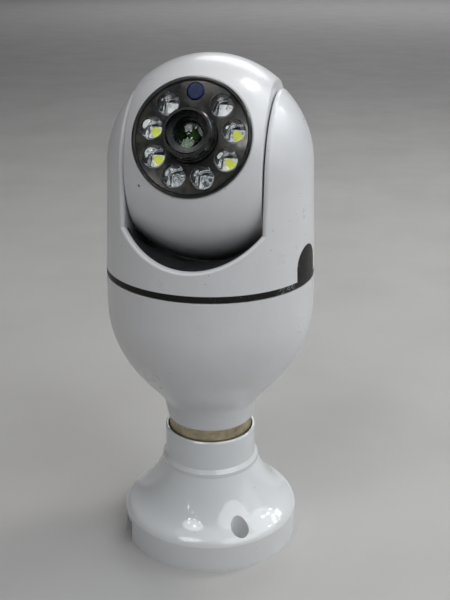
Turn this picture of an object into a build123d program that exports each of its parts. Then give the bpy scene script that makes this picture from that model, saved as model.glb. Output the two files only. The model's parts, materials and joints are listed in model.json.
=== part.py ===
from build123d import *
import math
import os

# Bulb-shaped pan and tilt camera with an Edison screw cap, standing in its surface lampholder.
# Millimetres. +Z up, origin at the centre of the lampholder's underside, the camera faces -Y.
# Angles called "bearing" are measured about Z from -Y towards +X.

# ---- Driving dimensions ---------------------------------------------------------------------
# Lampholder
FLANGE_R = 30.5
FLANGE_TOP_R = 30.2
FLANGE_H = 9.3
SKIRT_WALL = 2.4
RING_R = 16.6
RING_BOTTOM = 27.1
RING_TOP = 29.8
COLLAR_R = 15.45
MOUTH_R = 14.5
HOLDER_TOP = 40.0
FLOOR_Z = 10.5
FLOOR_T = 2.0
MOUNT_PITCH_R = 26.0
MOUNT_BEARINGS = (35.0, 215.0)
MOUNT_HOLE_R = 2.0
MOUNT_RECESS_R = 3.0
NOTCH_BEARING = -57.0
NOTCH_W = 6.8
NOTCH_H = 7.6

# Edison screw
PITCH = 3.629
CAP_ROOT_R = 12.05
CAP_CREST_R = 13.1
SOCKET_ROOT_R = 13.45
SOCKET_CREST_R = 12.25
SOCKET_R = 14.3
THREAD_ROOT_W = 2.2
THREAD_CREST_W = 1.0
CAP_THREAD_Z = 22.2
CAP_COLLAR_R = 14.15
CAP_TOP = 44.0

# Lower housing and pan bearing
BODY_R = 33.5
BODY_TOP = 96.3
BOWL_TOP = 86.0
WALL = 2.1
DECK_Z = 85.6
DECK_T = 2.0
POST_R = 6.0
POST_BORE_R = 4.0
POST_TOP = 93.9
TABLE_Z = 90.5
TABLE_T = 2.0
RUN = 0.05

# Pan head
BAND_Z = 96.6
BAND_TOP = 98.5
HEAD_R = 33.4
ARM_R = 32.0
SHELL_T = 2.0
DOME_Z = 130.4
SLOT_HALF = 20.7
LIP_R = 26.75
LIP_ROUND = 0.9
CHEEK_T = 1.5
TRAY_R = 34.4
TRAY_T = 1.2
TRAY_FOOT = 94.3
TONGUE_BEARING = 76.2
TONGUE_W = 13.2
TONGUE_TOP = 108.7

# Ball and camera
BALL_Z = 132.0
BALL_R = 31.7
BALL_HALF = 20.3
BALL_WALL = 2.0
BALL_EDGE = 1.0
FACE_BACK = 1.8
CARD_BACK = 1.5
REST_PITCH = 24.2
SEAM = -5.0
FACE_CUT = 28.0
FACE_HOLE_R = 17.42
LAMP_PITCH_R = 12.15
LAMP_R = 3.4
SENSOR_PITCH_R = 13.1
SENSOR_R = 2.5
WHITE_ANGLES = (10, 170, 210, 330)
INFRARED_ANGLES = (50, 130, 250, 290)
BARREL_R = 7.15
BARREL_TOP = 34.2
LENS_COLLAR_R = 7.6
PIN_R = 4.0
CARD_ANGLE = 112.0

# Gears
PAN_MODULE = 0.7
PAN_TEETH = 36
TILT_MODULE = 0.6
TILT_TEETH = 32
PINION_TEETH = 12
BACKLASH = 0.2
PAN_CENTRES = PAN_MODULE * (PAN_TEETH + PINION_TEETH) / 2
TILT_CENTRES = TILT_MODULE * (TILT_TEETH + PINION_TEETH) / 2
TILT_GEAR_X = 23.2
TILT_GEAR_T = 1.4

# ---- Frames ---------------------------------------------------------------------------------
BALL_CENTRE = Vector(0, 0, BALL_Z)
COS_P = math.cos(math.radians(REST_PITCH))
SIN_P = math.sin(math.radians(REST_PITCH))
LENS_DIR = Vector(0, -COS_P, SIN_P)
UP_DIR = Vector(0, SIN_P, COS_P)
FACE_ORIGIN = BALL_CENTRE - LENS_DIR * FACE_BACK
FACE = Plane(origin=FACE_ORIGIN, x_dir=(1, 0, 0), z_dir=LENS_DIR)
LENS_SECTION = Plane(origin=FACE_ORIGIN, x_dir=(1, 0, 0), z_dir=UP_DIR * -1)
LENS_AXIS = Axis(FACE_ORIGIN, LENS_DIR)
TILT_AXIS = Axis(BALL_CENTRE, (1, 0, 0))
CARD_DIR = (
    LENS_DIR * math.cos(math.radians(CARD_ANGLE))
    + UP_DIR * math.sin(math.radians(CARD_ANGLE))
)
CARD_ORIGIN = BALL_CENTRE - CARD_DIR * CARD_BACK
CARD_PLANE = Plane(origin=CARD_ORIGIN, x_dir=(1, 0, 0), z_dir=CARD_DIR)
SIDE = Plane(origin=BALL_CENTRE, x_dir=(0, 1, 0), z_dir=(1, 0, 0))


def at_bearing(radius, bearing):
    """Plan position at a bearing, measured about Z from -Y towards +X."""
    angle = math.radians(bearing)
    return (radius * math.sin(angle), -radius * math.cos(angle))


def around(radius, angles):
    """Points at plain polar angles on a circle."""
    return [
        (radius * math.cos(math.radians(a)), radius * math.sin(math.radians(a)))
        for a in angles
    ]


def cap_radius(half_width, rise):
    """Radius of the sphere whose cap has this half width and rise."""
    return (half_width**2 + rise**2) / (2 * rise)


def gear_profile(teeth, module, start_angle=0.0):
    """Involute spur gear outline with short teeth and some backlash."""
    pressure = math.radians(20)
    pitch_r = module * teeth / 2
    base_r = pitch_r * math.cos(pressure)
    tip_r = pitch_r + 0.8 * module
    root_r = pitch_r - 1.1 * module
    start_r = max(base_r, root_r)
    middle_r = (start_r + tip_r) / 2

    def point(radius, side):
        """Point of one flank at a radius; side is -1 or 1."""
        bend = math.acos(min(1.0, base_r / radius))
        half = math.pi / (2 * teeth) - BACKLASH / (2 * pitch_r)
        half += math.tan(pressure) - pressure - (math.tan(bend) - bend)
        return (radius * math.cos(half), side * radius * math.sin(half))

    foot = (0.9 * root_r, 0.8 * point(start_r, 1)[1])
    with BuildSketch() as tooth:
        with BuildLine():
            ThreePointArc(point(start_r, -1), point(middle_r, -1), point(tip_r, -1))
            ThreePointArc(point(tip_r, -1), (tip_r, 0), point(tip_r, 1))
            ThreePointArc(point(tip_r, 1), point(middle_r, 1), point(start_r, 1))
            Polyline(point(start_r, 1), foot, (foot[0], -foot[1]), point(start_r, -1))
        make_face()
    with BuildSketch() as gear:
        Circle(root_r)
        with PolarLocations(0, teeth, start_angle=start_angle):
            add(tooth.sketch)
    return gear.sketch


def thread_ridge(root_r, crest_r, start_z, height):
    """Right-hand thread ridge of the Edison screw, root a little inside the wall it stands on."""
    with BuildPart() as ridge:
        with BuildLine():
            course = Helix(PITCH, height, root_r, center=(0, 0, start_z))
        rise = crest_r - root_r
        with BuildSketch(Plane(origin=course @ 0, x_dir=(1, 0, 0), z_dir=course % 0)):
            Polygon(
                (0, -THREAD_ROOT_W / 2),
                (0, THREAD_ROOT_W / 2),
                (rise, THREAD_CREST_W / 2),
                (rise, -THREAD_CREST_W / 2),
                align=None,
            )
        sweep(path=course, is_frenet=True)
    return ridge.part


def head_outline(inset, bottom):
    """Half section of the pan head, inset from its outer surface, as a face in the XZ plane."""
    reach = HEAD_R - inset
    dome = ARM_R - inset
    with BuildSketch(Plane.XZ) as half:
        with BuildLine():
            Polyline((0, bottom), (reach, bottom), (dome, DOME_Z))
            RadiusArc((dome, DOME_Z), (0, DOME_Z + dome), -dome)
            Line((0, DOME_Z + dome), (0, bottom))
        make_face()
    return half.sketch


def ball_outline(inset):
    """Half section of the ball about the tilt axis, inset from its outer surface."""
    radius = BALL_R - inset
    half = BALL_HALF - inset
    edge = math.sqrt(radius**2 - half**2)
    with BuildSketch(Plane(origin=BALL_CENTRE, x_dir=(1, 0, 0), z_dir=(0, -1, 0))) as zone:
        with BuildLine():
            Polyline((-half, edge), (-half, 0), (half, 0), (half, edge))
            ThreePointArc((half, edge), (0, radius), (-half, edge))
        make_face()
        fillet(zone.vertices().group_by(Axis.Y)[-1], BALL_EDGE - inset / 4)
    return zone.sketch


# ---- Lampholder -----------------------------------------------------------------------------
# One white moulding: skirt, swept cone, step ring, collar, inner tube and a floor for the core.
SCREW_SPOTS = [at_bearing(MOUNT_PITCH_R, b) for b in MOUNT_BEARINGS]
CORE_SCREW_SPOTS = ((0, 11.6), (0, -11.6))
with BuildPart() as holder_cavity:
    with BuildSketch(Plane.XZ):
        with BuildLine():
            Polyline((0, 0), (FLANGE_R - SKIRT_WALL, 0), (27.9, 7.6))
            Bezier((27.9, 7.6), (26.6, 11.6), (21.8, 8.4), (16.0, 22.0))
            Polyline((16.0, 22.0), (16.0, FLOOR_Z), (0, FLOOR_Z), (0, 0))
        make_face()
    revolve(axis=Axis.Z)
    with BuildSketch(Plane.XY):
        with Locations(*SCREW_SPOTS):
            Circle(4.4)
    extrude(amount=HOLDER_TOP, mode=Mode.SUBTRACT)

with BuildPart() as lampholder_shell:
    with BuildSketch(Plane.XZ):
        with BuildLine():
            Polyline((0, 0), (FLANGE_R, 0), (FLANGE_TOP_R, FLANGE_H))
            Bezier((FLANGE_TOP_R, FLANGE_H), (28.5, 13.5), (23.7, 10.5), (RING_R, RING_BOTTOM))
            Polyline(
                (RING_R, RING_BOTTOM),
                (RING_R, 28.5),
                (COLLAR_R + 0.15, RING_TOP),
                (COLLAR_R, HOLDER_TOP - 0.4),
                (COLLAR_R - 0.4, HOLDER_TOP),
                (MOUTH_R + 0.2, HOLDER_TOP),
                (MOUTH_R, HOLDER_TOP - 0.2),
                (MOUTH_R, FLOOR_Z + FLOOR_T),
                (9.0, FLOOR_Z + FLOOR_T),
                (9.0, FLOOR_Z),
                (0, FLOOR_Z),
                (0, 0),
            )
        make_face()
    revolve(axis=Axis.Z)
    add(holder_cavity.part, mode=Mode.SUBTRACT)
    with BuildSketch(Plane.XY):
        with Locations(*SCREW_SPOTS):
            Circle(MOUNT_HOLE_R)
    extrude(amount=HOLDER_TOP, mode=Mode.SUBTRACT)
    with BuildSketch(Plane.XY.offset(4.5)):
        with Locations(*SCREW_SPOTS):
            Circle(MOUNT_RECESS_R)
    extrude(amount=HOLDER_TOP, mode=Mode.SUBTRACT)
    with BuildSketch(Plane.XY):
        with Locations(Location((*at_bearing(FLANGE_R, NOTCH_BEARING), 0), (0, 0, NOTCH_BEARING))):
            Rectangle(NOTCH_W, 8.0)
    extrude(amount=NOTCH_H, mode=Mode.SUBTRACT)
    with BuildSketch(Plane.XY.offset(FLOOR_Z)):
        with Locations(*CORE_SCREW_SPOTS):
            Circle(1.3)
    extrude(amount=FLOOR_T, mode=Mode.SUBTRACT)

# Insulating core that carries the contacts and the brass socket.
CORE_TOP = 15.2
TERMINAL_X = 4.7
with BuildPart() as holder_core:
    with BuildSketch(Plane.XY.offset(FLOOR_Z + FLOOR_T)):
        Circle(MOUTH_R - 0.2)
    extrude(amount=CORE_TOP - FLOOR_Z - FLOOR_T)
    with BuildSketch(Plane.XY.offset(7.0)):
        Circle(8.8)
    extrude(amount=FLOOR_Z + FLOOR_T - 7.0)
    with BuildSketch(Plane.XY.offset(7.0)):
        with Locations((TERMINAL_X, 0), (-TERMINAL_X, 0)):
            Rectangle(5.4, 6.4)
    extrude(amount=5.0, mode=Mode.SUBTRACT)
    with BuildSketch(Plane.XY.offset(11.0)):
        with Locations((TERMINAL_X, 0), (-TERMINAL_X, 0)):
            Rectangle(4.6, 4.6)
    extrude(amount=5.0, mode=Mode.SUBTRACT)
    with BuildSketch(Plane.XY.offset(12.0)):
        with Locations(*CORE_SCREW_SPOTS):
            Circle(1.5)
    extrude(amount=5.0, mode=Mode.SUBTRACT)

# Rolled brass socket with the female thread.
socket_ridge = thread_ridge(
    SOCKET_ROOT_R + 0.2, SOCKET_CREST_R, CAP_THREAD_Z - PITCH / 2, 13.2
)
with BuildPart() as socket_shell:
    with BuildSketch(Plane.XZ):
        Polygon(
            (SOCKET_ROOT_R, CORE_TOP + 0.05),
            (SOCKET_R, CORE_TOP + 0.05),
            (SOCKET_R, 36.0),
            (SOCKET_ROOT_R, 36.0),
            align=None,
        )
    revolve(axis=Axis.Z)
    add(socket_ridge)

# Sprung strip under the cap's centre contact, standing on the left terminal.
with BuildPart() as centre_contact_spring:
    with BuildSketch(Plane.XZ.offset(-2.0)):
        with BuildLine():
            Polyline((-6.4, 12.25), (-4.2, 12.25), (-3.4, 15.9), (0, 16.5), (2.0, 16.0))
        trace(line_width=0.4)
    extrude(amount=4.0)

# Strip from the right terminal to the wall of the socket.
with BuildPart() as side_contact:
    with BuildSketch(Plane.XZ.offset(-2.0)):
        with BuildLine():
            Polyline((6.4, 12.25), (4.2, 12.25), (4.2, 15.45), (13.0, 15.45), (13.0, 18.6))
        trace(line_width=0.4)
    extrude(amount=4.0)

with BuildPart() as holder_terminals:
    with BuildSketch(Plane.XY.offset(7.4)):
        with Locations((TERMINAL_X, 0), (-TERMINAL_X, 0)):
            Rectangle(5.0, 6.0)
            Circle(1.25, mode=Mode.SUBTRACT)
    extrude(amount=4.55)

with BuildPart() as terminal_screws:
    with BuildSketch(Plane.XY.offset(6.2)):
        with Locations((TERMINAL_X, 0), (-TERMINAL_X, 0)):
            Circle(2.1)
    extrude(amount=1.1)
    with BuildSketch(Plane.XY.offset(7.3)):
        with Locations((TERMINAL_X, 0), (-TERMINAL_X, 0)):
            Circle(1.2)
    extrude(amount=3.6)
    with BuildSketch(Plane.XY.offset(6.2)):
        with Locations((TERMINAL_X, 0), (-TERMINAL_X, 0)):
            Rectangle(3.4, 0.6)
    extrude(amount=0.5, mode=Mode.SUBTRACT)

with BuildPart() as core_screws:
    with BuildSketch(Plane.XY.offset(CORE_TOP + 0.05)):
        with Locations(*CORE_SCREW_SPOTS):
            Circle(1.8)
    extrude(amount=1.2)
    with BuildSketch(Plane.XY.offset(9.0)):
        with Locations(*CORE_SCREW_SPOTS):
            Circle(1.2)
    extrude(amount=CORE_TOP + 0.1 - 9.0)
    with BuildSketch(Plane.XY.offset(CORE_TOP + 0.75)):
        with Locations(*CORE_SCREW_SPOTS):
            Rectangle(2.8, 0.5)
    extrude(amount=1.0, mode=Mode.SUBTRACT)

# ---- Screw cap and bulb body ----------------------------------------------------------------
with BuildPart() as cap_contact:
    with BuildSketch(Plane.XZ):
        with BuildLine():
            Polyline((0, 17.0), (0, 18.3), (4.8, 18.3), (4.8, 17.7))
            Bezier((4.8, 17.7), (4.0, 17.1), (2.0, 17.0), (0, 17.0))
        make_face()
    revolve(axis=Axis.Z)

cap_ridge = thread_ridge(CAP_ROOT_R - 0.25, CAP_CREST_R, CAP_THREAD_Z, 12.8)
with BuildPart() as cap_shell:
    with BuildSketch(Plane.XZ):
        Polygon(
            (11.0, 20.6),
            (CAP_ROOT_R - 0.3, 20.6),
            (CAP_ROOT_R, 21.0),
            (CAP_ROOT_R, 36.6),
            (CAP_COLLAR_R - 0.1, 38.4),
            (CAP_COLLAR_R, 43.9),
            (CAP_COLLAR_R - 0.55, 43.9),
            (CAP_COLLAR_R - 0.55, 38.6),
            (11.5, 36.7),
            (11.5, 21.2),
            (11.0, 21.2),
            align=None,
        )
    revolve(axis=Axis.Z)
    add(cap_ridge)
    for turn in range(10):
        with BuildSketch(Plane(
            origin=(0, 0, 42.9), x_dir=(0, 0, 1),
            z_dir=(*at_bearing(1, 13 + 36 * turn), 0),
        ).offset(CAP_COLLAR_R - 0.25)):
            Circle(0.5)
        extrude(amount=1.0, mode=Mode.SUBTRACT)

LEAD_R = 0.6
LEAD_Y = 0.8
with BuildPart() as cap_insulator:
    with BuildSketch(Plane.XZ):
        Polygon(
            (0, 18.4),
            (5.2, 18.4),
            (10.6, 20.3),
            (10.6, 21.3),
            (11.4, 21.3),
            (11.4, 23.0),
            (0, 23.0),
            align=None,
        )
    revolve(axis=Axis.Z)
    with BuildSketch(Plane.XY.offset(18.0)):
        with Locations((0, LEAD_Y)):
            Circle(LEAD_R + 0.05)
    extrude(amount=6.0, mode=Mode.SUBTRACT)

# White bowl with the neck, the spigot inside the cap collar and three deck bosses.
DECK_BEARINGS = (90, 210, 330)
with BuildPart() as lower_housing:
    with BuildSketch(Plane.XZ):
        with BuildLine():
            Polyline((BODY_R - WALL, BODY_TOP), (BODY_R, BODY_TOP), (BODY_R, BOWL_TOP))
            Bezier((BODY_R, BOWL_TOP), (BODY_R, 64.7), (16.4, 55.0), (15.6, 50.0))
            Polyline(
                (15.6, 50.0),
                (14.6, 44.5),
                (14.3, CAP_TOP),
                (13.5, CAP_TOP),
                (13.5, 38.8),
                (11.9, 38.8),
                (11.9, 46.0),
                (13.1, 51.5),
            )
            Bezier((13.1, 51.5), (13.8, 58.4), (BODY_R - WALL, 66.0), (BODY_R - WALL, BOWL_TOP))
            Line((BODY_R - WALL, BOWL_TOP), (BODY_R - WALL, BODY_TOP))
        make_face()
    revolve(axis=Axis.Z)
    with BuildSketch(Plane.XY.offset(73.0)):
        with Locations(*[at_bearing(26.4, b) for b in DECK_BEARINGS]):
            Circle(2.8)
    extrude(amount=DECK_Z - 73.0)
    with BuildSketch(Plane.XY.offset(DECK_Z)):
        with Locations(*[at_bearing(26.4, b) for b in DECK_BEARINGS]):
            Circle(1.15)
    extrude(amount=-8.0, mode=Mode.SUBTRACT)

# Supply board standing in the neck, with its parts on the front.
BOARD_TOP = 69.5
with BuildPart() as power_board:
    with BuildSketch(Plane.XZ.offset(-1.6)):
        Polygon(
            (-9.5, 46.0),
            (9.5, 46.0),
            (9.5, 55.0),
            (15.5, 63.0),
            (15.5, BOARD_TOP),
            (-15.5, BOARD_TOP),
            (-15.5, 63.0),
            (-9.5, 55.0),
            align=None,
        )
    extrude(amount=1.6)

with BuildPart() as transformer:
    with BuildSketch(Plane.XZ.offset(0.05)):
        with Locations((-6.6, 62.5)):
            Rectangle(10.0, 11.0)
    extrude(amount=8.5)
    with BuildSketch(Plane.XZ.offset(1.6)):
        with Locations((-6.6, 62.5)):
            Rectangle(12.6, 7.0)
    extrude(amount=5.4)

with BuildPart() as mains_capacitors:
    with BuildSketch(Plane.XY.offset(57.5)):
        with Locations((4.6, -4.3)):
            Circle(4.0)
    extrude(amount=11.0)
    with BuildSketch(Plane.XY.offset(62.0)):
        with Locations((11.8, -3.2)):
            Circle(2.8)
    extrude(amount=7.0)
    fillet(mains_capacitors.edges().filter_by(GeomType.CIRCLE), 0.5)

# Live and neutral leads from the cap to the board, each of one tube.
LEAD_ROUTES = (
    ((0, LEAD_Y, 18.5), (0, LEAD_Y, 30.0), (3.0, LEAD_Y, 38.0), (3.0, LEAD_Y, 46.0)),
    ((10.7, LEAD_Y, 26.0), (10.7, LEAD_Y, 33.0), (7.0, LEAD_Y, 39.5), (7.0, LEAD_Y, 46.0)),
)
with BuildPart() as mains_leads:
    for route in LEAD_ROUTES:
        with BuildLine():
            course = FilletPolyline(*route, radius=4.0)
        with BuildSketch(Plane(origin=route[0], z_dir=(0, 0, 1))):
            Circle(LEAD_R)
        sweep(path=course)

# Deck with the hollow pan post.
with BuildPart() as base_deck:
    with BuildSketch(Plane.XZ):
        Polygon(
            (POST_BORE_R, DECK_Z),
            (BODY_R - WALL - 0.2, DECK_Z),
            (BODY_R - WALL - 0.2, DECK_Z + DECK_T),
            (POST_R, DECK_Z + DECK_T),
            (POST_R, 92.7),
            (POST_R - 0.7, 92.7),
            (POST_R - 0.7, 93.3),
            (POST_R, 93.3),
            (POST_R - 0.3, POST_TOP),
            (POST_BORE_R, POST_TOP),
            align=None,
        )
    revolve(axis=Axis.Z)
    with BuildSketch(Plane.XY.offset(DECK_Z)):
        with Locations((0, PAN_CENTRES)):
            Circle(3.0)
        with Locations(*[at_bearing(26.4, b) for b in DECK_BEARINGS]):
            Circle(1.4)
        with Locations((12.5, PAN_CENTRES), (-12.5, PAN_CENTRES)):
            Circle(1.2)
    extrude(amount=DECK_T, mode=Mode.SUBTRACT)

with BuildPart() as deck_screws:
    with BuildSketch(Plane.XY.offset(DECK_Z + DECK_T + 0.02)):
        with Locations(*[at_bearing(26.4, b) for b in DECK_BEARINGS]):
            Circle(2.3)
        with Locations((12.5, PAN_CENTRES), (-12.5, PAN_CENTRES)):
            Circle(2.0)
    extrude(amount=1.3)
    with BuildSketch(Plane.XY.offset(DECK_Z - 6.5)):
        with Locations(*[at_bearing(26.4, b) for b in DECK_BEARINGS]):
            Circle(1.1)
    extrude(amount=6.5 + DECK_T + 0.1)
    with BuildSketch(Plane.XY.offset(DECK_Z - 2.5)):
        with Locations((12.5, PAN_CENTRES), (-12.5, PAN_CENTRES)):
            Circle(1.1)
    extrude(amount=2.5 + DECK_T + 0.1)
    with BuildSketch(Plane.XY.offset(DECK_Z + DECK_T + 0.7)):
        with Locations(*[at_bearing(26.4, b) for b in DECK_BEARINGS]):
            Rectangle(3.2, 0.6)
            Rectangle(0.6, 3.2)
    extrude(amount=1.0, mode=Mode.SUBTRACT)

# Geared stepper motor under the deck; its shaft turns with the pinion.
with BuildPart() as pan_motor:
    with BuildSketch(Plane.XY.offset(71.5)):
        with Locations((0, PAN_CENTRES)):
            Circle(10.0)
    extrude(amount=13.2)
    fillet(pan_motor.edges().group_by(Axis.Z)[0], 0.8)
    with BuildSketch(Plane.XY.offset(84.7)):
        with Locations((0, PAN_CENTRES)):
            SlotOverall(30.0, 6.4)
            Circle(10.0)
        with Locations((12.5, PAN_CENTRES), (-12.5, PAN_CENTRES)):
            Circle(1.15, mode=Mode.SUBTRACT)
    extrude(amount=0.85)
    with BuildSketch(Plane.XY.offset(80.0)):
        with Locations((0, PAN_CENTRES)):
            Circle(1.25 + RUN)
    extrude(amount=10.0, mode=Mode.SUBTRACT)

# Split ring in the post's groove that holds the turntable down.
with BuildPart() as pan_clip:
    with BuildSketch(Plane.XY.offset(92.75)):
        Circle(7.6)
        Circle(POST_R - 0.65, mode=Mode.SUBTRACT)
        with Locations((0, -7.0)):
            Rectangle(4.0, 6.0, mode=Mode.SUBTRACT)
    extrude(amount=0.5)

with BuildPart() as pan_pinion:
    with BuildSketch(Plane.XY.offset(88.6)):
        with Locations((0, PAN_CENTRES)):
            add(gear_profile(PINION_TEETH, PAN_MODULE))
    extrude(amount=1.6)
    with BuildSketch(Plane.XY.offset(80.5)):
        with Locations((0, PAN_CENTRES)):
            Circle(1.25)
    extrude(amount=9.0)

# ---- Pan head -------------------------------------------------------------------------------
YOKE_BEARINGS = (30, 150, 210, 330)
YOKE_BOSS_PITCH_R = 25.4
with BuildPart() as pan_table:
    with BuildSketch(Plane.XZ):
        Polygon(
            (POST_R + RUN, DECK_Z + DECK_T + 0.1),
            (7.5, DECK_Z + DECK_T + 0.1),
            (7.5, TABLE_Z),
            (30.2, TABLE_Z),
            (30.2, BAND_Z),
            (28.3, BAND_Z),
            (28.3, TABLE_Z + TABLE_T),
            (POST_R + RUN, TABLE_Z + TABLE_T),
            align=None,
        )
    revolve(axis=Axis.Z)
    with BuildSketch(Plane.XY.offset(TABLE_Z)):
        with Locations(*[at_bearing(YOKE_BOSS_PITCH_R, b) for b in YOKE_BEARINGS]):
            Circle(1.3)
    extrude(amount=TABLE_T, mode=Mode.SUBTRACT)
    with BuildSketch(Plane.XY.offset(TABLE_Z)):
        with Locations(*[at_bearing(YOKE_BOSS_PITCH_R, b) for b in YOKE_BEARINGS]):
            Circle(2.4)
    extrude(amount=1.2, mode=Mode.SUBTRACT)

with BuildPart() as pan_gear:
    with BuildSketch(Plane.XY.offset(88.4)):
        add(gear_profile(PAN_TEETH, PAN_MODULE, 5.0))
        Circle(7.55, mode=Mode.SUBTRACT)
    extrude(amount=2.05)

TONGUE_PLANE = Plane(
    origin=(*at_bearing(1, TONGUE_BEARING), BAND_TOP),
    x_dir=(*at_bearing(1, TONGUE_BEARING + 90), 0),
    z_dir=(*at_bearing(1, TONGUE_BEARING), 0),
)


def arch(grow):
    """Arched outline of the tongue, grown all round, standing on the band."""
    half = TONGUE_W / 2 + grow
    height = TONGUE_TOP - BAND_TOP + grow
    with BuildSketch(TONGUE_PLANE) as outline:
        with BuildLine():
            Polyline((-half, height - half), (-half, -1.0), (half, -1.0), (half, height - half))
            ThreePointArc((half, height - half), (0, height), (-half, height - half))
        make_face()
    return outline.sketch


# Envelopes that the shell, the tongue and the parts inside the head are cut to.
with BuildPart() as head_envelope:
    add(head_outline(0, BAND_TOP))
    revolve(axis=Axis.Z)

with BuildPart() as head_hollow:
    add(head_outline(SHELL_T, BAND_TOP - 1))
    revolve(axis=Axis.Z)

with BuildPart() as inside_limit:
    add(head_outline(SHELL_T + 0.15, BAND_TOP - 1.3))
    revolve(axis=Axis.Z)

# Dark ring at the foot of the head, with an arched tongue standing in the shell's side.
with BuildPart() as tongue:
    add(arch(0))
    extrude(amount=40.0, dir=TONGUE_PLANE.z_dir)
    add(head_envelope.part, mode=Mode.INTERSECT)
    add(head_hollow.part, mode=Mode.SUBTRACT)

with BuildPart() as band_ring:
    with BuildSketch(Plane.XZ):
        Polygon(
            (28.3, BAND_Z),
            (HEAD_R, BAND_Z),
            (HEAD_R, BAND_TOP),
            (28.3, BAND_TOP),
            align=None,
        )
    revolve(axis=Axis.Z)
    add(tongue.part)

# Black bowl under the ball: a spherical floor, an apron out to the shell and a web below.
with BuildPart() as tray_apron:
    with BuildSketch(Plane.XZ.offset(-40.0)):
        with Locations((0, BALL_Z)):
            Circle(LIP_R + 1.6)
            Circle(LIP_R + 0.4, mode=Mode.SUBTRACT)
        with Locations((0, BALL_Z + 30.0)):
            Rectangle(80.0, 78.0, mode=Mode.SUBTRACT)
        with Locations((0, BALL_Z)):
            Rectangle(2 * SLOT_HALF, 80.0, mode=Mode.INTERSECT)
    extrude(amount=80.0)
    add(inside_limit.part, mode=Mode.INTERSECT)

with BuildPart() as tray_floor:
    with BuildSketch(SIDE.offset(-SLOT_HALF)):
        Rectangle(90.0, 90.0)
    extrude(amount=2 * SLOT_HALF)
    add(Solid.make_sphere(TRAY_R + TRAY_T, Plane(BALL_CENTRE)), mode=Mode.INTERSECT)
    with BuildSketch(Plane.XZ.offset(-40.0)):
        with Locations((0, BALL_Z)):
            Circle(LIP_R + 0.4)
        with Locations((0, BALL_Z + 30.0)):
            Rectangle(80.0, 78.0)
    extrude(amount=80.0, mode=Mode.SUBTRACT)
    add(inside_limit.part, mode=Mode.INTERSECT)

with BuildPart() as inner_tray:
    with BuildSketch(Plane.XY.offset(BAND_TOP - 1.3)):
        Circle(28.2)
    extrude(amount=1.2)
    with BuildSketch(Plane.XY.offset(TRAY_FOOT)):
        Circle(15.0)
    extrude(amount=BALL_Z - TRAY_R - TRAY_FOOT + 1.0)
    add(tray_floor.part)
    add(tray_apron.part)
    add(Solid.make_sphere(TRAY_R, Plane(BALL_CENTRE)), mode=Mode.SUBTRACT)
    with BuildSketch(Plane.XY.offset(POST_TOP - 1)):
        with Locations(*[at_bearing(YOKE_BOSS_PITCH_R, b) for b in YOKE_BEARINGS]):
            Circle(2.7)
    extrude(amount=6.0, mode=Mode.SUBTRACT)
    with BuildSketch(Plane.XY.offset(BAND_TOP - 2)):
        with Locations((-24.6, 0)):
            Rectangle(3.0, 6.0)
    extrude(amount=3.0, mode=Mode.SUBTRACT)

# White shell of the head: two arms joined low at the front and back, with screw bosses inside.
GRILLE_Z = 118.0
with BuildPart() as yoke_shell:
    add(head_envelope.part)
    with BuildSketch(Plane.XZ.offset(-40.0)):
        with Locations((0, BALL_Z)):
            Circle(LIP_R)
        with Locations((0, BALL_Z + 40.0)):
            Rectangle(2 * SLOT_HALF, 80.0)
        with Locations((0, BALL_Z)):
            Rectangle(2 * SLOT_HALF, 200.0, mode=Mode.INTERSECT)
    extrude(amount=80.0, mode=Mode.SUBTRACT)
    side_lips = yoke_shell.edges().filter_by(Plane.YZ).filter_by(GeomType.LINE, reverse=True)
    low_lips = yoke_shell.edges().filter_by(GeomType.BSPLINE)
    fillet(side_lips + low_lips, LIP_ROUND)
    add(head_hollow.part, mode=Mode.SUBTRACT)
    add(arch(0.1))
    extrude(amount=40.0, dir=TONGUE_PLANE.z_dir, mode=Mode.SUBTRACT)
    with BuildSketch(Plane.XY.offset(TABLE_Z + TABLE_T)):
        with Locations(*[at_bearing(YOKE_BOSS_PITCH_R, b) for b in YOKE_BEARINGS]):
            Circle(2.5)
    extrude(amount=9.5)
    with BuildSketch(Plane.XY.offset(BAND_TOP + 0.1)):
        for bearing in YOKE_BEARINGS:
            with Locations(Location((*at_bearing(29.6, bearing), 0), (0, 0, bearing))):
                Rectangle(1.4, 4.4)
    extrude(amount=3.4)
    with BuildSketch(Plane.XY.offset(TABLE_Z + TABLE_T)):
        with Locations(*[at_bearing(YOKE_BOSS_PITCH_R, b) for b in YOKE_BEARINGS]):
            Circle(1.15)
    extrude(amount=7.5, mode=Mode.SUBTRACT)
    with BuildSketch(Plane.YZ.offset(-40.0)):
        with Locations((0, GRILLE_Z)):
            with HexLocations(1.35, 5, 5):
                Circle(0.55)
    extrude(amount=12.0, mode=Mode.SUBTRACT)

with BuildPart() as yoke_screws:
    with BuildSketch(Plane.XY.offset(TABLE_Z + 0.05)):
        with Locations(*[at_bearing(YOKE_BOSS_PITCH_R, b) for b in YOKE_BEARINGS]):
            Circle(2.2)
    extrude(amount=1.1)
    with BuildSketch(Plane.XY.offset(TABLE_Z + 1.1)):
        with Locations(*[at_bearing(YOKE_BOSS_PITCH_R, b) for b in YOKE_BEARINGS]):
            Circle(1.1)
    extrude(amount=8.0)
    with BuildSketch(Plane.XY.offset(TABLE_Z)):
        with Locations(*[at_bearing(YOKE_BOSS_PITCH_R, b) for b in YOKE_BEARINGS]):
            Rectangle(2.8, 0.5)
            Rectangle(0.5, 2.8)
    extrude(amount=0.6, mode=Mode.SUBTRACT)

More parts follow.
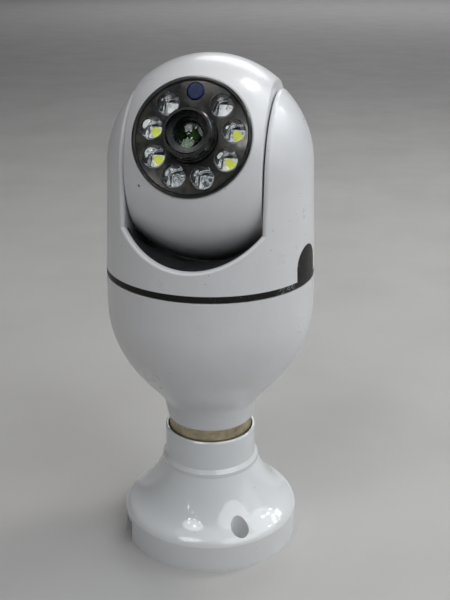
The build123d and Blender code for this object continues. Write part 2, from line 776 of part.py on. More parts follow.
# Inner walls of the two arms, with the holes for the pivot bushes.
CHEEK_X = SLOT_HALF + 0.05
BUSH_R = 5.2
with BuildPart() as motor_side_cheek:
    with BuildSketch(Plane.YZ.offset(CHEEK_X)):
        with Locations((0, BAND_TOP + 40.0)):
            Rectangle(80.0, 80.0)
    extrude(amount=CHEEK_T)
    with BuildSketch(Plane.YZ.offset(CHEEK_X + CHEEK_T)):
        with Locations((8.4, BALL_Z - TILT_CENTRES), (-8.4, BALL_Z - TILT_CENTRES)):
            Circle(1.5)
    extrude(amount=2.55)
    add(inside_limit.part, mode=Mode.INTERSECT)
    with BuildSketch(Plane.YZ.offset(CHEEK_X)):
        with Locations((0, BALL_Z)):
            Circle(BUSH_R)
    extrude(amount=CHEEK_T, mode=Mode.SUBTRACT)

with BuildPart() as pivot_side_cheek:
    with BuildSketch(Plane.YZ.offset(-CHEEK_X)):
        with Locations((0, BAND_TOP + 40.0)):
            Rectangle(80.0, 80.0)
    extrude(amount=-CHEEK_T)
    add(inside_limit.part, mode=Mode.INTERSECT)
    with BuildSketch(Plane.YZ.offset(-CHEEK_X)):
        with Locations((0, BALL_Z)):
            Circle(BUSH_R)
    extrude(amount=-CHEEK_T, mode=Mode.SUBTRACT)

with BuildPart() as pivot_bushes:
    for side in (-1, 1):
        with BuildSketch(Plane.YZ.offset(side * CHEEK_X)):
            with Locations((0, BALL_Z)):
                Circle(BUSH_R)
                Circle(PIN_R + RUN, mode=Mode.SUBTRACT)
        extrude(amount=side * (CHEEK_T + 0.6))
        with BuildSketch(Plane.YZ.offset(side * (CHEEK_X + CHEEK_T))):
            with Locations((0, BALL_Z)):
                Circle(BUSH_R + 1.0)
                Circle(PIN_R + RUN, mode=Mode.SUBTRACT)
        extrude(amount=side * 0.6)

MOTOR_X = 24.85
with BuildPart() as tilt_motor:
    with BuildSketch(Plane.YZ.offset(MOTOR_X)):
        with Locations((0, BALL_Z - TILT_CENTRES)):
            Circle(6.4)
    extrude(amount=4.5)
    with BuildSketch(Plane.YZ.offset(MOTOR_X)):
        with Locations((0, BALL_Z - TILT_CENTRES)):
            SlotOverall(20.4, 3.6)
    extrude(amount=0.7)
    with BuildSketch(Plane.YZ.offset(MOTOR_X)):
        with Locations((0, BALL_Z - TILT_CENTRES)):
            Circle(1.0 + RUN)
    extrude(amount=3.0, mode=Mode.SUBTRACT)

with BuildPart() as tilt_pinion:
    with BuildSketch(Plane.YZ.offset(TILT_GEAR_X)):
        with Locations((0, BALL_Z - TILT_CENTRES)):
            add(gear_profile(PINION_TEETH, TILT_MODULE))
    extrude(amount=TILT_GEAR_T)
    with BuildSketch(Plane.YZ.offset(TILT_GEAR_X)):
        with Locations((0, BALL_Z - TILT_CENTRES)):
            Circle(1.0)
    extrude(amount=4.2)

# Speaker behind the grille of the left arm.
with BuildPart() as speaker:
    with BuildSketch(Plane.YZ.offset(-29.2)):
        with Locations((0, GRILLE_Z)):
            Circle(7.4)
            Circle(6.2, mode=Mode.SUBTRACT)
    extrude(amount=1.0)
    with BuildSketch(Plane.YZ.offset(-28.7)):
        with Locations((0, GRILLE_Z)):
            Circle(6.8)
    extrude(amount=1.4)
    with BuildSketch(Plane.YZ.offset(-27.5)):
        with Locations((0, GRILLE_Z)):
            Circle(4.2)
    extrude(amount=1.6)

with BuildPart() as head_board:
    with BuildSketch(Plane.YZ.offset(-26.0)):
        with Locations((0, 104.6)):
            Rectangle(19.0, 10.4)
    extrude(amount=1.0)
    with BuildSketch(Plane.YZ.offset(-25.0)):
        with Locations((-4.5, 105.0)):
            Rectangle(5.0, 5.0)
        with Locations((5.0, 106.0)):
            Rectangle(6.0, 3.4)
    extrude(amount=1.2)

with BuildPart() as wifi_antenna:
    with BuildSketch(Plane.YZ.offset(-23.2)):
        with Locations((0, 143.6)):
            RectangleRounded(7.0, 9.0, 1.0)
    extrude(amount=0.4)

# ---- Camera ball ----------------------------------------------------------------------------
SLAB = 90.0
with BuildPart() as ball_solid:
    add(ball_outline(0))
    revolve(axis=TILT_AXIS)

with BuildPart() as ball_hollow:
    add(ball_outline(BALL_WALL))
    revolve(axis=TILT_AXIS)

POST_SPOTS = ((11.0, 17.0), (-11.0, 17.0), (11.0, -17.0), (-11.0, -17.0))
BOARD_Z = 10.8
MIC_DIR = FACE.from_local_coords(Vector(-14.8, -14.4, 26.3)) - BALL_CENTRE
MIC_PLANE = Plane(origin=BALL_CENTRE, z_dir=MIC_DIR)
with BuildPart() as ball_front_shell:
    add(ball_solid.part)
    add(ball_hollow.part, mode=Mode.SUBTRACT)
    with BuildSketch(FACE.offset(SEAM)):
        Rectangle(SLAB, SLAB)
    extrude(amount=-SLAB, mode=Mode.SUBTRACT)
    with BuildSketch(FACE.offset(FACE_CUT)):
        Rectangle(SLAB, SLAB)
    extrude(amount=SLAB, mode=Mode.SUBTRACT)
    with BuildSketch(FACE.offset(15.0)):
        Circle(FACE_HOLE_R)
    extrude(amount=SLAB, mode=Mode.SUBTRACT)
    with BuildSketch(Plane.YZ.offset(-BALL_HALF - 1)):
        with Locations((0, BALL_Z)):
            Circle(PIN_R + 0.02)
    extrude(amount=2 * BALL_HALF + 2, mode=Mode.SUBTRACT)
    with BuildSketch(FACE.offset(BOARD_Z + 1.2)):
        with Locations(*POST_SPOTS):
            Circle(1.9)
    extrude(amount=12.2)
    with BuildSketch(FACE.offset(BOARD_Z + 1.2)):
        with Locations(*POST_SPOTS):
            Circle(0.95)
    extrude(amount=8.5, mode=Mode.SUBTRACT)
    with BuildSketch(MIC_PLANE.offset(28.0)):
        Circle(0.5)
    extrude(amount=8.0, mode=Mode.SUBTRACT)

with BuildPart() as ball_rear_shell:
    add(ball_solid.part)
    add(ball_hollow.part, mode=Mode.SUBTRACT)
    with BuildSketch(FACE.offset(SEAM - 0.12)):
        Rectangle(SLAB, SLAB)
    extrude(amount=SLAB, mode=Mode.SUBTRACT)
    with BuildSketch(CARD_PLANE.offset(26.0)):
        Rectangle(11.8, 1.6)
        with Locations((10.5, 0)):
            Circle(1.7)
    extrude(amount=10.0, mode=Mode.SUBTRACT)

# Face: black rim cup, smoked window, lamp board, lamps and their lenses.
with BuildPart() as face_bezel:
    with BuildSketch(LENS_SECTION):
        Polygon(
            (15.7, 20.8),
            (16.9, 20.8),
            (16.9, 25.2),
            (17.4, 25.2),
            (17.4, 28.6),
            (17.1, 29.0),
            (16.6, 29.0),
            (16.25, 28.7),
            (16.25, 27.0),
            (15.7, 26.6),
            align=None,
        )
    revolve(axis=LENS_AXIS)

LAMP_SPOTS = around(LAMP_PITCH_R, WHITE_ANGLES + INFRARED_ANGLES)
with BuildPart() as face_window:
    with BuildSketch(FACE.offset(27.05)):
        Circle(16.2)
        Circle(LENS_COLLAR_R + 0.15, mode=Mode.SUBTRACT)
        with Locations(*LAMP_SPOTS):
            Circle(LAMP_R + 0.12, mode=Mode.SUBTRACT)
        with Locations((0, SENSOR_PITCH_R)):
            Circle(SENSOR_R + 0.12, mode=Mode.SUBTRACT)
    extrude(amount=1.2)

with BuildPart() as led_board:
    with BuildSketch(FACE.offset(21.2)):
        Circle(15.6)
        Circle(7.4, mode=Mode.SUBTRACT)
    extrude(amount=1.2)

with BuildPart() as white_leds:
    with BuildSketch(FACE.offset(22.4)):
        with Locations(*around(LAMP_PITCH_R, WHITE_ANGLES)):
            RectangleRounded(2.6, 2.6, 0.3)
    extrude(amount=0.7)

with BuildPart() as infrared_leds:
    with BuildSketch(FACE.offset(22.4)):
        with Locations(*around(LAMP_PITCH_R, INFRARED_ANGLES)):
            RectangleRounded(2.4, 2.4, 0.3)
    extrude(amount=0.7)

with BuildPart() as led_lenses:
    with BuildSketch(FACE.offset(22.42)):
        with Locations(*LAMP_SPOTS):
            Circle(LAMP_R)
    extrude(amount=6.6)
    fillet(led_lenses.edges().filter_by(GeomType.CIRCLE).group_by(LENS_AXIS)[-1], 2.6)
    with BuildSketch(FACE.offset(22.42)):
        with Locations(*LAMP_SPOTS):
            Circle(2.0)
    extrude(amount=0.9, mode=Mode.SUBTRACT)

with BuildPart() as photosensor:
    with BuildSketch(FACE.offset(22.42)):
        with Locations((0, SENSOR_PITCH_R)):
            Circle(SENSOR_R)
    extrude(amount=6.1)
    fillet(photosensor.edges().filter_by(GeomType.CIRCLE).group_by(LENS_AXIS)[-1], 0.5)

# Lens, turned about its axis.
with BuildPart() as lens_collar:
    with BuildSketch(LENS_SECTION):
        Polygon(
            (BARREL_R + 0.02, 24.2),
            (LENS_COLLAR_R, 24.2),
            (LENS_COLLAR_R, 29.7),
            (LENS_COLLAR_R - 0.2, 30.1),
            (BARREL_R + 0.12, 30.3),
            (BARREL_R + 0.02, 30.1),
            align=None,
        )
    revolve(axis=LENS_AXIS)

with BuildPart() as lens_barrel:
    with BuildSketch(LENS_SECTION):
        Polygon(
            (3.5, 15.5),
            (6.0, 15.5),
            (6.0, 24.0),
            (BARREL_R, 24.0),
            (BARREL_R, 31.3),
            (BARREL_R - 0.2, 31.5),
            (BARREL_R - 0.2, 31.8),
            (BARREL_R, 32.0),
            (BARREL_R, BARREL_TOP - 0.4),
            (BARREL_R - 0.35, BARREL_TOP),
            (6.2, BARREL_TOP),
            (6.1, 31.0),
            (3.5, 31.0),
            align=None,
        )
    revolve(axis=LENS_AXIS)

with BuildPart() as lens_retainer:
    with BuildSketch(LENS_SECTION):
        Polygon(
            (4.3, 31.0),
            (6.08, 31.0),
            (6.08, 32.9),
            (5.5, 32.9),
            (5.3, 32.4),
            (4.9, 32.3),
            (4.7, 31.9),
            (4.3, 31.8),
            align=None,
        )
    revolve(axis=LENS_AXIS)

with BuildPart() as front_glass:
    with BuildSketch(LENS_SECTION):
        with BuildLine():
            Polyline((0, 32.4), (0, 31.02), (4.25, 31.02), (4.25, 31.4))
            RadiusArc((4.25, 31.4), (0, 32.4), -cap_radius(4.25, 1.0))
        make_face()
    revolve(axis=LENS_AXIS)

with BuildPart() as rear_glass:
    with BuildSketch(LENS_SECTION):
        with BuildLine():
            Polyline((3.45, 27.0), (3.45, 28.0))
            RadiusArc((3.45, 28.0), (0, 28.8), -cap_radius(3.45, 0.8))
            Line((0, 28.8), (0, 27.0))
            Line((0, 27.0), (3.45, 27.0))
        make_face()
    revolve(axis=LENS_AXIS)

with BuildPart() as lens_holder:
    with BuildSketch(FACE.offset(BOARD_Z + 1.2)):
        Rectangle(15.0, 15.0)
    extrude(amount=3.0)
    with BuildSketch(FACE.offset(BOARD_Z + 4.2)):
        Circle(7.2)
    extrude(amount=5.6)
    with BuildSketch(FACE.offset(BOARD_Z + 1.2)):
        Rectangle(9.0, 9.0)
    extrude(amount=2.0, mode=Mode.SUBTRACT)
    with BuildSketch(FACE.offset(BOARD_Z + 3.2)):
        Circle(6.03)
    extrude(amount=7.0, mode=Mode.SUBTRACT)

with BuildPart() as image_sensor:
    with BuildSketch(FACE.offset(BOARD_Z + 1.2)):
        RectangleRounded(7.4, 6.6, 0.3)
    extrude(amount=1.0)

with BuildPart() as main_board:
    with BuildSketch(FACE.offset(BOARD_Z)):
        RectangleRounded(31.0, 38.6, 2.0)
        with Locations(*POST_SPOTS):
            Circle(1.1, mode=Mode.SUBTRACT)
    extrude(amount=1.2)
    with BuildSketch(FACE.offset(BOARD_Z)):
        with Locations((0, 3.0)):
            Rectangle(10.0, 10.0)
        with Locations((-9.0, -8.0)):
            Rectangle(6.0, 8.0)
        with Locations((8.5, -9.0)):
            Rectangle(8.0, 4.0)
    extrude(amount=-1.4)

with BuildPart() as board_screws:
    with BuildSketch(FACE.offset(BOARD_Z - 0.02)):
        with Locations(*POST_SPOTS):
            Circle(1.8)
    extrude(amount=-1.2)
    with BuildSketch(FACE.offset(BOARD_Z - 0.6)):
        with Locations(*POST_SPOTS):
            Circle(0.9)
    extrude(amount=8.0)
    with BuildSketch(FACE.offset(BOARD_Z - 0.7)):
        with Locations(*POST_SPOTS):
            Rectangle(2.2, 0.4)
            Rectangle(0.4, 2.2)
    extrude(amount=-1.0, mode=Mode.SUBTRACT)

with BuildPart() as microphone:
    with BuildSketch(MIC_PLANE.offset(BALL_R - 3.35)):
        Circle(1.5)
    extrude(amount=1.0)

# Tilt pivots: a geared pin on the motor side, a hollow pin for the wires on the other.
with BuildPart() as tilt_gear:
    with BuildSketch(Plane.YZ.offset(TILT_GEAR_X)):
        with Locations((0, BALL_Z)):
            add(gear_profile(TILT_TEETH, TILT_MODULE, 5.625))
    extrude(amount=TILT_GEAR_T)
    with BuildSketch(Plane.YZ.offset(16.8)):
        with Locations((0, BALL_Z)):
            Circle(PIN_R)
    extrude(amount=TILT_GEAR_X - 16.8)

with BuildPart() as wire_hub:
    with BuildSketch(Plane.YZ.offset(-16.8)):
        with Locations((0, BALL_Z)):
            Circle(PIN_R)
            Circle(2.8, mode=Mode.SUBTRACT)
    extrude(amount=16.8 - TILT_GEAR_X - 0.8)
    with BuildSketch(Plane.YZ.offset(-TILT_GEAR_X)):
        with Locations((0, BALL_Z)):
            Circle(6.2)
            Circle(2.8, mode=Mode.SUBTRACT)
    extrude(amount=-0.8)

# Card socket on its own small board, the card, and the reset button beside it.
with BuildPart() as card_board:
    with BuildSketch(CARD_PLANE.offset(15.0)):
        with Locations((2.4, -2.0)):
            Rectangle(24.0, 1.0)
    extrude(amount=11.2)
    with BuildSketch(CARD_PLANE.offset(22.2)):
        with Locations((10.5, -0.5)):
            Rectangle(4.0, 2.0)
    extrude(amount=4.0)

with BuildPart() as card_socket:
    with BuildSketch(CARD_PLANE.offset(16.6)):
        Rectangle(13.6, 2.6)
    extrude(amount=13.2)
    with BuildSketch(CARD_PLANE.offset(17.6)):
        Rectangle(11.3, 1.1)
    extrude(amount=15.0, mode=Mode.SUBTRACT)

with BuildPart() as memory_card:
    with BuildSketch(CARD_PLANE.offset(17.8)):
        Rectangle(10.9, 0.75)
    extrude(amount=15.0)
    with BuildSketch(CARD_PLANE.offset(32.0)):
        with Locations((0, 0.45)):
            Rectangle(10.9, 0.3)
    extrude(amount=0.8)

with BuildPart() as reset_button:
    with BuildSketch(CARD_PLANE.offset(26.9)):
        with Locations((10.5, 0)):
            Circle(1.4)
    extrude(amount=4.7)
    with BuildSketch(CARD_PLANE.offset(26.9)):
        with Locations((10.5, 0)):
            Circle(2.1)
    extrude(amount=1.0)
    fillet(reset_button.edges().group_by(Axis(BALL_CENTRE, CARD_DIR))[-1], 0.3)

# ---- Files ----------------------------------------------------------------------------------
PIECES = {
    "lampholder_shell": lampholder_shell,
    "holder_core": holder_core,
    "socket_shell": socket_shell,
    "centre_contact_spring": centre_contact_spring,
    "side_contact": side_contact,
    "holder_terminals": holder_terminals,
    "terminal_screws": terminal_screws,
    "core_screws": core_screws,
    "cap_contact": cap_contact,
    "cap_shell": cap_shell,
    "cap_insulator": cap_insulator,
    "lower_housing": lower_housing,
    "power_board": power_board,
    "transformer": transformer,
    "mains_capacitors": mains_capacitors,
    "mains_leads": mains_leads,
    "base_deck": base_deck,
    "deck_screws": deck_screws,
    "pan_motor": pan_motor,
    "pan_clip": pan_clip,
    "pan_pinion": pan_pinion,
    "pan_table": pan_table,
    "pan_gear": pan_gear,
    "band_ring": band_ring,
    "inner_tray": inner_tray,
    "yoke_shell": yoke_shell,
    "yoke_screws": yoke_screws,
    "motor_side_cheek": motor_side_cheek,
    "pivot_side_cheek": pivot_side_cheek,
    "pivot_bushes": pivot_bushes,
    "tilt_motor": tilt_motor,
    "tilt_pinion": tilt_pinion,
    "speaker": speaker,
    "head_board": head_board,
    "wifi_antenna": wifi_antenna,
    "ball_front_shell": ball_front_shell,
    "ball_rear_shell": ball_rear_shell,
    "face_bezel": face_bezel,
    "face_window": face_window,
    "led_board": led_board,
    "white_leds": white_leds,
    "infrared_leds": infrared_leds,
    "led_lenses": led_lenses,
    "photosensor": photosensor,
    "lens_collar": lens_collar,
    "lens_barrel": lens_barrel,
    "lens_retainer": lens_retainer,
    "front_glass": front_glass,
    "rear_glass": rear_glass,
    "lens_holder": lens_holder,
    "image_sensor": image_sensor,
    "main_board": main_board,
    "board_screws": board_screws,
    "microphone": microphone,
    "tilt_gear": tilt_gear,
    "wire_hub": wire_hub,
    "card_board": card_board,
    "card_socket": card_socket,
    "memory_card": memory_card,
    "reset_button": reset_button,
}

os.makedirs("parts", exist_ok=True)
for piece_name, piece in PIECES.items():
    piece.part.label = piece_name
    export_step(piece.part, f"parts/{piece_name}.step")
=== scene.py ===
"""Looks of the bulb-shaped pan and tilt camera in its lampholder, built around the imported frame."""
import json
import math

import bmesh
import bpy
from mathutils import Matrix, Vector


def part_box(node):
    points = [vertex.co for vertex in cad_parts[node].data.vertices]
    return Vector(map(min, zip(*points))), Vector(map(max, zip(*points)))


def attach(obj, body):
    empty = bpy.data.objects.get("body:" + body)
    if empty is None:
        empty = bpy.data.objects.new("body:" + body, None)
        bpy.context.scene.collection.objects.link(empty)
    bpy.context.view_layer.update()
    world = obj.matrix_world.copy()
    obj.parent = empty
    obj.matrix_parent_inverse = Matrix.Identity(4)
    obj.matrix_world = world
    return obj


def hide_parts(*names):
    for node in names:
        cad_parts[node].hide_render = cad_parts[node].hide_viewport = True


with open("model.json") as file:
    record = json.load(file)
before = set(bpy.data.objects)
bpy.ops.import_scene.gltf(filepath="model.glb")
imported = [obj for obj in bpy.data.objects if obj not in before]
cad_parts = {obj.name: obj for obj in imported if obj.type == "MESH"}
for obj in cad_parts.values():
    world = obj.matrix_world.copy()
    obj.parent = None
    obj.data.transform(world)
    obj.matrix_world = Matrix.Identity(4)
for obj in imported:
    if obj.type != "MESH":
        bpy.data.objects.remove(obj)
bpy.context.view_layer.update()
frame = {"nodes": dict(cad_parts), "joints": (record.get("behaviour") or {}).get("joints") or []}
MM = 0.001

# ---- Places read from the frame ---------------------------------------------------------------
JOINTS = {joint["name"]: joint for joint in frame["joints"]}
BALL_CENTRE = Vector(JOINTS["tilt"]["pos_m"])
LENS_DIR = (sum(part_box("lens_barrel"), Vector()) / 2 - BALL_CENTRE).normalized()
SIDE_DIR = Vector((1, 0, 0))
UP_DIR = LENS_DIR.cross(SIDE_DIR)
FACE_BACK = 1.8  # the face's heights are measured from this far behind the ball's centre
FACE_TURN = Matrix((SIDE_DIR, UP_DIR, LENS_DIR)).transposed().to_4x4()
FACE = Matrix.Translation(BALL_CENTRE - LENS_DIR * FACE_BACK * MM) @ FACE_TURN
BAND_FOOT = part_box("band_ring")[0].z
BAND_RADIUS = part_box("lower_housing")[1].x
SCUFF_BEARING = math.radians(56)
SCUFF_SIDE = Vector((math.sin(SCUFF_BEARING), -math.cos(SCUFF_BEARING), 0))
SCUFF_PLACE = SCUFF_SIDE * BAND_RADIUS + Vector((0, 0, BAND_FOOT))

# Face layout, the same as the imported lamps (millimetres and degrees).
LAMP_PITCH = 12.15
LAMP_RADIUS = 3.4
WHITE_ANGLES = (10, 170, 210, 330)
INFRARED_ANGLES = (50, 130, 250, 290)
BOARD_FRONT = 22.4
CHIP_TOP = BOARD_FRONT + 0.7
WINDOW_BACK = 27.05
BEZEL_FRONT = 28.9
LAMP_TOP = 29.02


# ---- Material building ------------------------------------------------------------------------
class Surface:
    """A Principled material with short calls for the nodes that drive it. Sizes are in millimetres."""

    def __init__(self, name, **constants):
        self.material = bpy.data.materials.new(name)
        self.material.use_nodes = True
        self.tree = self.material.node_tree
        self.shader = self.tree.nodes["Principled BSDF"]
        for socket, value in constants.items():
            self.shader.inputs[socket.replace("_", " ")].default_value = value
        self.place = self.tree.nodes.new("ShaderNodeTexCoord").outputs["Object"]
        self.normal = None

    def node(self, kind, settings=None, **inputs):
        """A node whose inputs are linked from sockets or set to values; _ in a name stands for a space."""
        made = self.tree.nodes.new(kind)
        for key, value in (settings or {}).items():
            setattr(made, key, value)
        for socket, value in inputs.items():
            target = made.inputs[socket.replace("_", " ")]
            if isinstance(value, bpy.types.NodeSocket):
                self.tree.links.new(value, target)
            else:
                target.default_value = value
        return made

    def moved(self, squeeze=(1, 1, 1), turn=(0, 0, 0)):
        """The place, stretched along the axes whose squeeze is small."""
        mapping = self.node("ShaderNodeMapping", Vector=self.place, Scale=squeeze, Rotation=turn)
        return mapping.outputs[0]

    def noise(self, size, detail=3.0, rough=0.5, squeeze=None, turn=(0, 0, 0), distort=0.0):
        """Noise with features of about the given size, from 0 to 1."""
        place = self.moved(squeeze, turn) if squeeze else self.place
        made = self.node(
            "ShaderNodeTexNoise",
            Vector=place,
            Scale=1 / (size * MM),
            Detail=detail,
            Roughness=rough,
            Distortion=distort,
        )
        return made.outputs[0]

    def cells(self, size, feature="F1"):
        """Distance to the nearest of a scatter of points, or to the edge between two."""
        scale = 1 / (size * MM)
        made = self.node("ShaderNodeTexVoronoi", {"feature": feature}, Vector=self.place, Scale=scale)
        return made.outputs["Distance"]

    def ramp(self, value, low, high, to_low=0.0, to_high=1.0):
        """value between low and high, spread smoothly over to_low and to_high."""
        made = self.node(
            "ShaderNodeMapRange",
            {"interpolation_type": "SMOOTHSTEP"},
            Value=value,
            From_Min=low,
            From_Max=high,
            To_Min=to_low,
            To_Max=to_high,
        )
        return made.outputs[0]

    def clouds(self, *grain, **shape):
        """Soft patches of a noise, from 0 to 1."""
        return self.ramp(self.noise(*grain, **shape), 0.35, 0.7)

    def haze(self, low, high, *grain):
        """Roughness that wanders between low and high with a noise."""
        return self.ramp(self.noise(*grain), 0.3, 0.75, low, high)

    def maths(self, operation, first, second=0.0):
        """One Math node on two sockets or numbers."""
        made = self.tree.nodes.new("ShaderNodeMath")
        made.operation = operation
        for target, value in zip(made.inputs, (first, second)):
            if isinstance(value, bpy.types.NodeSocket):
                self.tree.links.new(value, target)
            else:
                target.default_value = value
        return made.outputs[0]

    def mix(self, factor, first, second):
        """A colour between first and second; each is a socket or three numbers."""
        made = self.tree.nodes.new("ShaderNodeMix")
        made.data_type = "RGBA"
        for target, value in zip((made.inputs[0], made.inputs[6], made.inputs[7]), (factor, first, second)):
            if isinstance(value, bpy.types.NodeSocket):
                self.tree.links.new(value, target)
            else:
                target.default_value = value if isinstance(value, float) else (*value, 1.0)
        return made.outputs[2]

    def height(self):
        """Height above the table, in metres."""
        return self.node("ShaderNodeSeparateXYZ", Vector=self.place).outputs["Z"]

    def reach(self, point):
        """Distance from a point, in metres."""
        made = self.tree.nodes.new("ShaderNodeVectorMath")
        made.operation = "DISTANCE"
        self.tree.links.new(self.place, made.inputs[0])
        made.inputs[1].default_value = point
        return made.outputs["Value"]

    def bump(self, value, depth, strength=1.0):
        """Raises the surface by depth millimetres where value is 1."""
        made = self.node("ShaderNodeBump", Height=value, Distance=depth * MM, Strength=strength)
        if self.normal:
            self.tree.links.new(self.normal, made.inputs["Normal"])
        self.normal = made.outputs[0]

    def drive(self, **sockets):
        """Links node outputs to the shader's own sockets."""
        for socket, value in sockets.items():
            self.tree.links.new(value, self.shader.inputs[socket.replace("_", " ")])

    def done(self):
        """The finished material."""
        if self.normal:
            self.tree.links.new(self.normal, self.shader.inputs["Normal"])
        return self.material

    # Wear that several materials share.
    def specks(self, size, radius, share=0.45):
        """Small round marks, 1 inside a mark."""
        marks = self.ramp(self.cells(size), radius / size * 0.6, radius / size, 1.0, 0.0)
        kept = self.ramp(self.noise(size * 6, 1.0), 1 - share, 1.02 - share)
        return self.maths("MULTIPLY", marks, kept)

    def scratches(self, size, share, turn):
        """Hair-thin lines that run one way, in patches, 1 on a line."""
        lines = self.noise(size, 2.0, 0.6, squeeze=(1.0, 0.04, 1.0), turn=turn)
        patches = self.ramp(self.noise(size * 30, 2.0), 0.5, 0.62)
        return self.maths("MULTIPLY", self.ramp(lines, 1 - share, 1.03 - share), patches)


def shell_white():
    """Satin white moulding: fine spark-eroded grain, a cool cast that warms in patches, and
    handling marks and dust specks.
    """
    s = Surface("shell_white", IOR=1.49, Coat_Weight=0.3, Coat_Roughness=0.13)
    tone = s.mix(s.clouds(42), (0.785, 0.79, 0.815), (0.765, 0.76, 0.765))
    tone = s.mix(s.ramp(s.noise(7, 5.0), 0.45, 0.8, 0.0, 0.25), tone, (0.70, 0.69, 0.685))
    tone = s.mix(s.specks(3.4, 0.17, 0.5), tone, (0.16, 0.14, 0.12))
    tone = s.mix(s.maths("MULTIPLY", s.scratches(0.5, 0.33, (0.4, 0.9, 0.3)), 0.3), tone, (0.55, 0.54, 0.52))
    smears = s.haze(0.27, 0.38, 15, 4.0, 0.6)
    lines = s.maths("MULTIPLY", s.scratches(0.35, 0.32, (0.1, 0.5, 1.2)), 0.12)
    s.drive(Base_Color=tone, Roughness=s.maths("ADD", smears, lines))
    s.bump(s.noise(0.28, 2.0), 0.004, 0.55)
    s.bump(s.noise(11, 2.0), 0.02, 0.5)
    return s.done()


def holder_white():
    """Glossy white moulding of the lampholder, with flow waves under the gloss, and darker brownish patches
    within 1.6 mm of the table.
    """
    s = Surface("holder_white", IOR=1.52, Coat_Weight=0.5, Coat_Roughness=0.04)
    tone = s.mix(s.clouds(30), (0.79, 0.81, 0.83), (0.77, 0.775, 0.78))
    tone = s.mix(s.specks(4.2, 0.2, 0.5), tone, (0.22, 0.19, 0.16))
    # Darker and browner in patches within 1.6 mm of the table.
    near_table_darkening = s.ramp(s.height(), 0.0, 1.6 * MM, 0.22, 0.0)
    near_table_darkening = s.maths("MULTIPLY", near_table_darkening, s.ramp(s.noise(2.2, 5.0, 0.65), 0.4, 0.7))
    tone = s.mix(near_table_darkening, tone, (0.36, 0.30, 0.27))
    smears = s.ramp(s.noise(12, 4.0, 0.6), 0.35, 0.75, 0.07, 0.17)
    lines = s.maths("MULTIPLY", s.scratches(0.4, 0.34, (0.8, 0.2, 0.5)), 0.25)
    s.drive(Base_Color=tone, Roughness=s.maths("ADD", smears, lines))
    s.bump(s.noise(8.5, 1.0), 0.05, 0.55)
    s.bump(s.noise(2.6, 2.0), 0.006, 0.5)
    return s.done()


def plain_moulding(name, light, dark, low=0.35, high=0.55, grain=0.01):
    """A moulded plastic in one colour, mottled between light and dark, with a fine grain."""
    s = Surface(name, IOR=1.48)
    tone = s.mix(s.clouds(9, 4.0), light, dark)
    s.drive(Base_Color=tone, Roughness=s.haze(low, high, 3, 4.0, 0.6))
    s.bump(s.noise(0.3, 2.0), grain, 0.6)
    return s.done()


def band_black():
    """Satin black ring and tongue: brownish cast, fine grain, and pale scuffs where it has been rubbed."""
    s = Surface("band_black", IOR=1.33, Specular_IOR_Level=0.3)
    tone = s.mix(s.clouds(14, 3.0), (0.013, 0.0125, 0.012), (0.022, 0.019, 0.0175))
    scuffs = s.maths("ADD", s.scratches(0.5, 0.36, (0.2, 0.1, 0.4)), s.specks(1.9, 0.11, 0.5))
    tone = s.mix(s.maths("MULTIPLY", scuffs, 0.35), tone, (0.30, 0.29, 0.27))
    curls = s.maths("ABSOLUTE", s.maths("SUBTRACT", s.noise(2.4, 2.0, 0.5, distort=1.4), 0.5))
    rubbed = s.ramp(s.reach(SCUFF_PLACE), 2.2 * MM, 4.6 * MM, 1.0, 0.0)
    tone = s.mix(s.maths("MULTIPLY", s.ramp(curls, 0.012, 0.03, 1.0, 0.0), rubbed), tone, (0.48, 0.47, 0.46))
    s.drive(Base_Color=tone, Roughness=s.haze(0.30, 0.46, 2.4, 4.0, 0.6))
    s.bump(s.noise(0.26, 2.0), 0.006, 0.6)
    return s.done()


def window_smoke():
    """Smoked face window: glossy, with painted brown-grey reflections in clouds over its dark tint, and a
    little dust and haze.
    """
    s = Surface("window_smoke", IOR=1.48, Coat_Weight=0.25, Coat_Roughness=0.03)
    # Painted reflections: brown-grey clouds in the colour.
    clouds = s.noise(5.5, 4.0, 0.6, distort=1.2)
    tone = s.mix(s.ramp(clouds, 0.38, 0.66), (0.024, 0.026, 0.028), (0.060, 0.055, 0.046))
    tone = s.mix(s.maths("MULTIPLY", s.specks(1.5, 0.09, 0.5), 0.5), tone, (0.30, 0.28, 0.25))
    haze = s.ramp(s.noise(3.2, 4.0, 0.6), 0.35, 0.75, 0.06, 0.2)
    lines = s.maths("MULTIPLY", s.scratches(0.3, 0.35, (0, 0.4, 0.9)), 0.2)
    s.drive(Base_Color=tone, Roughness=s.maths("ADD", haze, lines))
    s.bump(s.noise(4.0, 1.0), 0.01, 0.4)
    return s.done()


def bezel_black():
    """Black rim of the face: polished outside, with the window's smoked tone and its painted brown-grey
    reflections inside a fine step.
    """
    s = Surface("bezel_black", IOR=1.42)
    centre = FACE @ Vector((0, 0, BEZEL_FRONT * MM))
    inside = s.ramp(s.reach(centre), 16.75 * MM, 16.95 * MM, 1.0, 0.0)
    # The window's smoked tone with its painted brown-grey reflections, inside the step.
    smoke_and_painted_reflection = s.mix(s.ramp(s.noise(5.5, 4.0, 0.6), 0.38, 0.66), (0.020, 0.021, 0.023), (0.040, 0.037, 0.032))
    tone = s.mix(inside, (0.003, 0.003, 0.004), smoke_and_painted_reflection)
    s.drive(Base_Color=tone, Roughness=s.haze(0.12, 0.24, 1.6, 4.0, 0.6))
    s.bump(s.noise(0.4, 2.0), 0.003, 0.5)
    return s.done()


def black_gloss(name, low, high):
    """Black moulding or black anodised metal with some gloss, a fine grain, dust and haze."""
    s = Surface(name, IOR=1.45, Coat_Weight=0.08, Coat_Roughness=0.12)
    tone = s.mix(s.clouds(3, 3.0), (0.004, 0.005, 0.005), (0.009, 0.010, 0.011))
    tone = s.mix(s.maths("MULTIPLY", s.specks(1.3, 0.07, 0.5), 0.6), tone, (0.25, 0.24, 0.22))
    s.drive(Base_Color=tone, Roughness=s.haze(low, high, 1.6, 4.0, 0.6))
    s.bump(s.noise(0.4, 2.0), 0.003, 0.5)
    return s.done()


